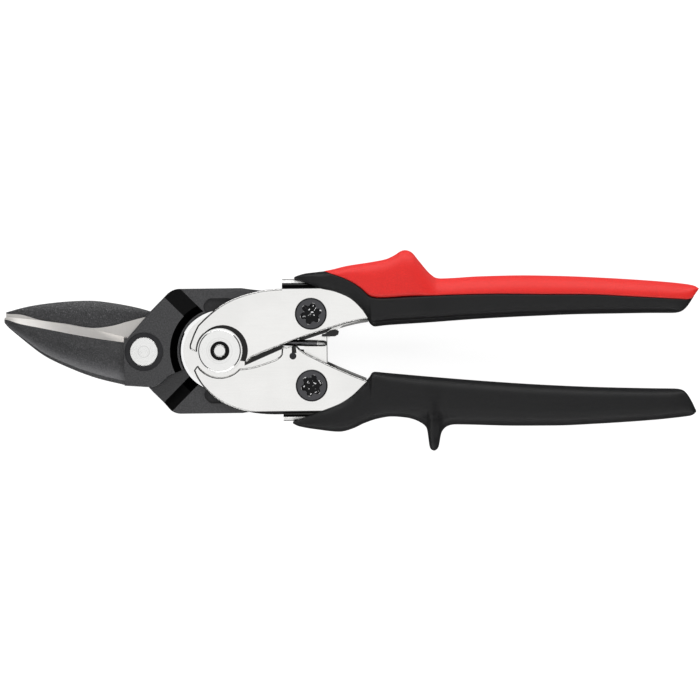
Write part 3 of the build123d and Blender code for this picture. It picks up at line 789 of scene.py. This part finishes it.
LOWER_HIGH = Curve((55.2, -26.9), (57.9, -25.9), (61.9, -24.1), (65.9, -22.6), (69.9, -21.2),
                   (73.0, -19.9), (76.0, -18.1), (78.0, -16.6), (80.0, -14.7), (81.5, -13.2),
                   (83.4, -11.4), (84.4, -10.2), (85.1, -9.0), (86.1, -8.6), (90.1, -9.0),
                   (110.1, -11.0), (130.0, -12.8), (150.0, -14.3), (170.0, -15.4),
                   (190.0, -16.1), (200.6, -16.4), (201.9, -16.9), (203.9, -20.0),
                   (205.4, -23.0), (206.1, -24.6))
LOWER_LOW = Curve((55.2, -27.6), (56.8, -28.5), (59.8, -29.3), (64.8, -30.1), (69.8, -30.8),
                  (72.8, -31.0), (77.8, -29.8), (81.9, -27.9), (86.9, -26.3), (91.9, -25.5),
                  (97.9, -26.0), (101.9, -27.2), (104.3, -28.7), (105.6, -30.3), (106.0, -32.8),
                  (106.3, -36.6), (107.0, -38.1), (108.2, -38.6), (109.4, -37.9), (110.1, -36.2),
                  (110.6, -32.9), (111.4, -31.0), (112.9, -29.6), (115.4, -28.8), (119.8, -28.9),
                  (139.8, -29.6), (155.0, -29.7), (169.8, -29.2), (189.9, -28.1), (199.9, -27.2),
                  (204.6, -26.6), (205.7, -25.9), (206.1, -25.0))
LOWER_SHARP_HIGH = Curve((55.0, 7.0), (84.0, 7.0), (92.0, 4.5), (115.0, 3.6), (196.0, 3.6),
                         (202.0, 6.0))
LOWER_SHARP_LOW = Curve((55.0, 2.6), (70.0, 3.0), (92.0, 3.6), (102.0, 3.0), (118.0, 2.4),
                        (200.0, 2.5))
LOWER_THICK = Curve((55.2, 0.72), (60.0, 0.82), (70.0, 0.94), (85.0, 0.98), (104.0, 0.97),
                    (112.0, 0.90), (150.0, 0.94), (195.0, 0.93), (204.0, 0.84), (206.1, 0.66))
HOOK_X = 107.6                # middle of the finger hook
HOOK_FROM, HOOK_TO = 99, 117  # the grip's underside runs straight on behind it between these
MOUTH_END = 84.5              # where the grips' mouths, open towards the levers, end
RED_START = 67.3              # the overmould begins here
RIDGE_START = 85.0


def ramp(value, start, end):
    """0 at start and 1 at end, straight between them."""
    return max(0.0, min(1.0, (value - start) / (end - start)))


def stations(start, end, step, fine=()):
    """Places along a grip, closer together at both ends and in the fine stretches."""
    places = []
    x = start
    while x < end:
        places.append(x)
        near_end = min(x - start, end - x) < 2.5
        in_fine = any(a <= x <= b for a, b in fine)
        x += step * (0.22 if near_end or in_fine else 1.0)
    return places + [end]


def mouth_lip(distance, x, last):
    """The mouth's edge lies close to the lever and swells away from it over a few millimetres."""
    return 1 - 0.20 * exp(-distance / 2.6) if x < last else 1.0


class SNIPS_OT_upper_grip(bpy.types.Operator):
    """Upper grip: the black core with its ridge line and the soft red overmould"""
    bl_idname = "snips.upper_grip"
    bl_label = "Upper grip"

    def execute(self, context):
        sizes = context.scene.snips_grips
        thick = sizes.thickness / MM
        step = sizes.step / MM
        ridge = sizes.ridge / MM
        proud = sizes.proud / MM

        def half(x, y):
            side = rounded_side(y, UPPER_LOW(x), UPPER_HIGH(x),
                                UPPER_SHARP_LOW(x), UPPER_SHARP_HIGH(x))
            return thick * UPPER_THICK(x) * side * mouth_lip(y - UPPER_LOW(x), x, MOUTH_END)

        core = []
        for x in stations(56.3, 207.2, step, [(80.0, 87.0)]):
            low, high = UPPER_LOW(x), UPPER_HIGH(x)
            line = RED_LINE(x) if x > RED_START else high
            top = max(min(line + 0.9, high - 0.05), low + 0.15)
            strip = min(RIDGE_UP(x), 0.4 * (top - low)) if x > 84 else 0.25 * (top - low)
            deep = ridge * ramp(x, RIDGE_START, RIDGE_START + 3) * ramp(x, 201, 197)
            levels = [(low + strip * (1 - cos(pi / 2 * k / 5)) * 0.86, deep) for k in range(6)]
            levels += [(low + strip * 0.93, deep * 1.9), (low + strip, deep * 1.9),
                       (low + strip * 1.10, 0.0)]
            rest = top - low - strip * 1.10
            closing = x <= RED_START
            for k in range(1, 11):
                share = sin(pi / 2 * k / 10) if closing else k / 10
                levels.append((low + strip * 1.10 + rest * share, 0.0))
            levels = [(y, inset + max(0.0, y - line) * 1.2) for y, inset in levels]
            right = [at(x, y, max(0.02, half(x, y) - inset)) for y, inset in levels]
            left = [at(x, y, -max(0.02, half(x, y) - inset)) for y, inset in reversed(levels)]
            core.append(right + left)
        mesh = skin("upper_grip_body", core)
        piece = add_piece("upper_grip_body", mesh, "upper_handle", "black_grip", "upper_grip_core")
        softened(piece, 1)

        red = []
        for x in stations(67.6, 207.7, step, [(90.0, 112.0)]):
            low = min(RED_LINE(x), UPPER_HIGH(x) - 0.1)
            high = UPPER_HIGH(x)
            low = max(low, UPPER_LOW(x))
            levels = [high - (high - low) * (1 - sin(pi / 2 * k / 14)) for k in range(15)]
            right = [at(x, y, max(0.03, half(x, y)) + proud) for y in levels]
            left = [at(x, y, -max(0.03, half(x, y)) - proud) for y in reversed(levels)]
            red.append(right + left)
        mesh = skin("upper_grip_red", red)
        piece = add_piece("upper_grip_red", mesh, "upper_handle", "red_grip",
                          "upper_grip_overmould")
        softened(piece, 1)
        return {"FINISHED"}


class SNIPS_OT_lower_grip(bpy.types.Operator):
    """Lower grip with the finger hook that grows out of it"""
    bl_idname = "snips.lower_grip"
    bl_label = "Lower grip"

    def execute(self, context):
        sizes = context.scene.snips_grips
        thick = sizes.thickness / MM
        step = sizes.step / MM
        rings = []
        for x in stations(55.2, 206.1, step, [(103.0, 114.0), (80.0, 87.0)]):
            low, high = LOWER_LOW(x), LOWER_HIGH(x)
            levels = [low + (high - low) * (1 - cos(pi * k / 30)) / 2 for k in range(31)]
            sharp = LOWER_SHARP_LOW(x), LOWER_SHARP_HIGH(x)
            halves = []
            for y in levels:
                side = rounded_side(y, low, high, *sharp)
                if HOOK_FROM < x < HOOK_TO:
                    along = (x - HOOK_FROM) / (HOOK_TO - HOOK_FROM)
                    start, end = LOWER_LOW(HOOK_FROM), LOWER_LOW(HOOK_TO)
                    under = start + along * (end - start)
                    body = rounded_side(y, under, high, *sharp) if y > under else 0.0
                    side = max(body, side * ramp(y, -19, -26))
                half = thick * LOWER_THICK(x) * side * mouth_lip(high - y, x, MOUTH_END)
                half *= 1 - 0.30 * ramp(y, -27, -33) * exp(-((x - HOOK_X) / 6.0) ** 2)
                near = ramp(y, -18.5, -25.5)
                half += 0.55 * near * exp(-((x - HOOK_X + 0.4) / 1.5) ** 2) * side
                half -= 0.70 * near * exp(-((x - HOOK_X - 3.2) / 2.2) ** 2) * side
                halves.append(max(0.03, half))
            rings.append([at(x, y, z) for y, z in zip(levels, halves)]
                         + [at(x, y, -z) for y, z in reversed(list(zip(levels, halves)))])
        mesh = skin("lower_grip_body", rings)
        piece = add_piece("lower_grip_body", mesh, "lower_handle", "black_grip", "lower_grip")
        softened(piece, 1)
        return {"FINISHED"}


# ---- studio ----
# name, kind, share of its kind's radiance, where across and above the tool, size, seen in metal
SOFTBOXES = (
    ("overhead", "overhead", 1.0, (0, 1.1), (0.62, 0.5), True),
    ("fill_1", "fill", 1.0, (0.85, 0.75), (1.6, 0.8), False),
    ("fill_-1", "fill", 0.7, (-0.85, 0.75), (1.6, 0.8), False),
    ("sheen_top", "sheen", 1.0, (1.0, 0.62), (1.6, 0.35), True),
    ("sheen_low", "sheen", 0.8, (-0.75, 0.95), (1.6, 0.22), True),
    ("rim_1", "sheen", 1.2, (1.1, 0.10), (1.8, 0.22), True),
    ("rim_-1", "sheen", 1.2, (-1.1, 0.10), (1.8, 0.22), True),
)
FLOOR_HALF = 1.6              # metres


def panel_light(name, where, toward, width, depth, radiance, seen):
    """Rectangular softbox; seen says whether polished metal mirrors it."""
    lamp = bpy.data.lights.new(name, "AREA")
    lamp.shape = "RECTANGLE"
    lamp.size = width
    lamp.size_y = depth
    lamp.energy = radiance * width * depth * pi
    holder = bpy.data.objects.new(name, lamp)
    bpy.context.scene.collection.objects.link(holder)
    holder.location = where
    holder.rotation_mode = "QUATERNION"
    holder.rotation_quaternion = (toward - where).to_track_quat("-Z", "Y")
    holder.visible_glossy = seen
    holder.visible_camera = False


class SNIPS_OT_studio(bpy.types.Operator):
    """Camera straight above the tool, a pale floor and soft lamps"""
    bl_idname = "snips.studio"
    bl_label = "Studio"

    def execute(self, context):
        studio = context.scene.snips_studio
        scene = context.scene
        low, high = CAD_BOX
        centre = (low + high) / 2
        lens = bpy.data.cameras.new("camera")
        lens.lens = studio.lens
        camera = bpy.data.objects.new("camera", lens)
        scene.collection.objects.link(camera)
        height = studio.field * studio.lens / lens.sensor_width
        camera.location = (centre.x - 0.35 * MM, centre.y + 0.49 * MM, MID + 1.5 * MM + height)
        camera.rotation_euler = (0, 0, -studio.roll)
        lens.clip_end = 10
        scene.camera = camera

        bm = bmesh.new()
        bmesh.ops.create_grid(bm, x_segments=2, y_segments=2, size=FLOOR_HALF)
        mesh = mesh_from("floor", bm, smooth=False)
        pale = Finish("pale_floor", Roughness=0.9)
        pale.shader.inputs["Emission Strength"].default_value = studio.floor
        pale.shader.inputs["Emission Color"].default_value = (1, 1, 1, 1)
        paper = pale.noise(40 * MM, 2)
        pale.feed("Base Color", pale.blend(paper, (0.30, 0.30, 0.30), (0.32, 0.32, 0.32)))
        mesh.materials.append(pale.material)
        floor = bpy.data.objects.new("floor", mesh)
        floor.location = (centre.x, centre.y, low.z)
        floor.visible_glossy = False
        scene.collection.objects.link(floor)

        aim = Vector((centre.x, centre.y, MID))
        radiances = {"overhead": studio.overhead, "fill": studio.fill, "sheen": studio.sheen}
        for name, kind, share, (y, z), (width, depth), seen in SOFTBOXES:
            radiance = radiances[kind] * share
            panel_light(name, aim + Vector((0, y, z)), aim, width, depth, radiance, seen)

        world = bpy.data.worlds.new("surroundings")
        world.use_nodes = True
        back = world.node_tree.nodes["Background"]
        back.inputs["Color"].default_value = (1, 1, 1, 1)
        back.inputs["Strength"].default_value = studio.horizon
        scene.world = world
        scene.view_settings.view_transform = "Standard"
        scene.view_settings.look = "None"
        return {"FINISHED"}


class SNIPS_PT_panel(bpy.types.Panel):
    """Lists the operators and settings of the snips"""
    bl_idname = "SNIPS_PT_panel"
    bl_label = "Compound Snips"
    bl_space_type = "VIEW_3D"
    bl_region_type = "UI"
    bl_category = "Snips"

    def draw(self, context):
        layout = self.layout
        for operator in OPERATORS:
            layout.operator(operator.bl_idname)
        for group in SETTINGS:
            box = layout.box()
            settings = getattr(context.scene, group)
            for name in settings.bl_rna.properties.keys():
                if name not in ("rna_type", "name"):
                    box.prop(settings, name)


SETTINGS = {"snips_colours": FinishColours, "snips_grips": GripSizes, "snips_studio": StudioSizes}
OPERATORS = (SNIPS_OT_studio, SNIPS_OT_jaws, SNIPS_OT_levers, SNIPS_OT_pivots, SNIPS_OT_latch,
             SNIPS_OT_spring, SNIPS_OT_upper_grip, SNIPS_OT_lower_grip)


def register():
    for made in (*SETTINGS.values(), *OPERATORS, SNIPS_PT_panel):
        bpy.utils.register_class(made)
    for name, group in SETTINGS.items():
        setattr(bpy.types.Scene, name, PointerProperty(type=group))


def unregister():
    for name in SETTINGS:
        delattr(bpy.types.Scene, name)
    for made in reversed((*SETTINGS.values(), *OPERATORS, SNIPS_PT_panel)):
        bpy.utils.unregister_class(made)


def main():
    register()
    bpy.ops.snips.studio()
    bpy.ops.snips.jaws()
    bpy.ops.snips.levers()
    bpy.ops.snips.pivots()
    bpy.ops.snips.latch()
    bpy.ops.snips.spring()
    bpy.ops.snips.upper_grip()
    bpy.ops.snips.lower_grip()


if __name__ == "__main__":
    main()
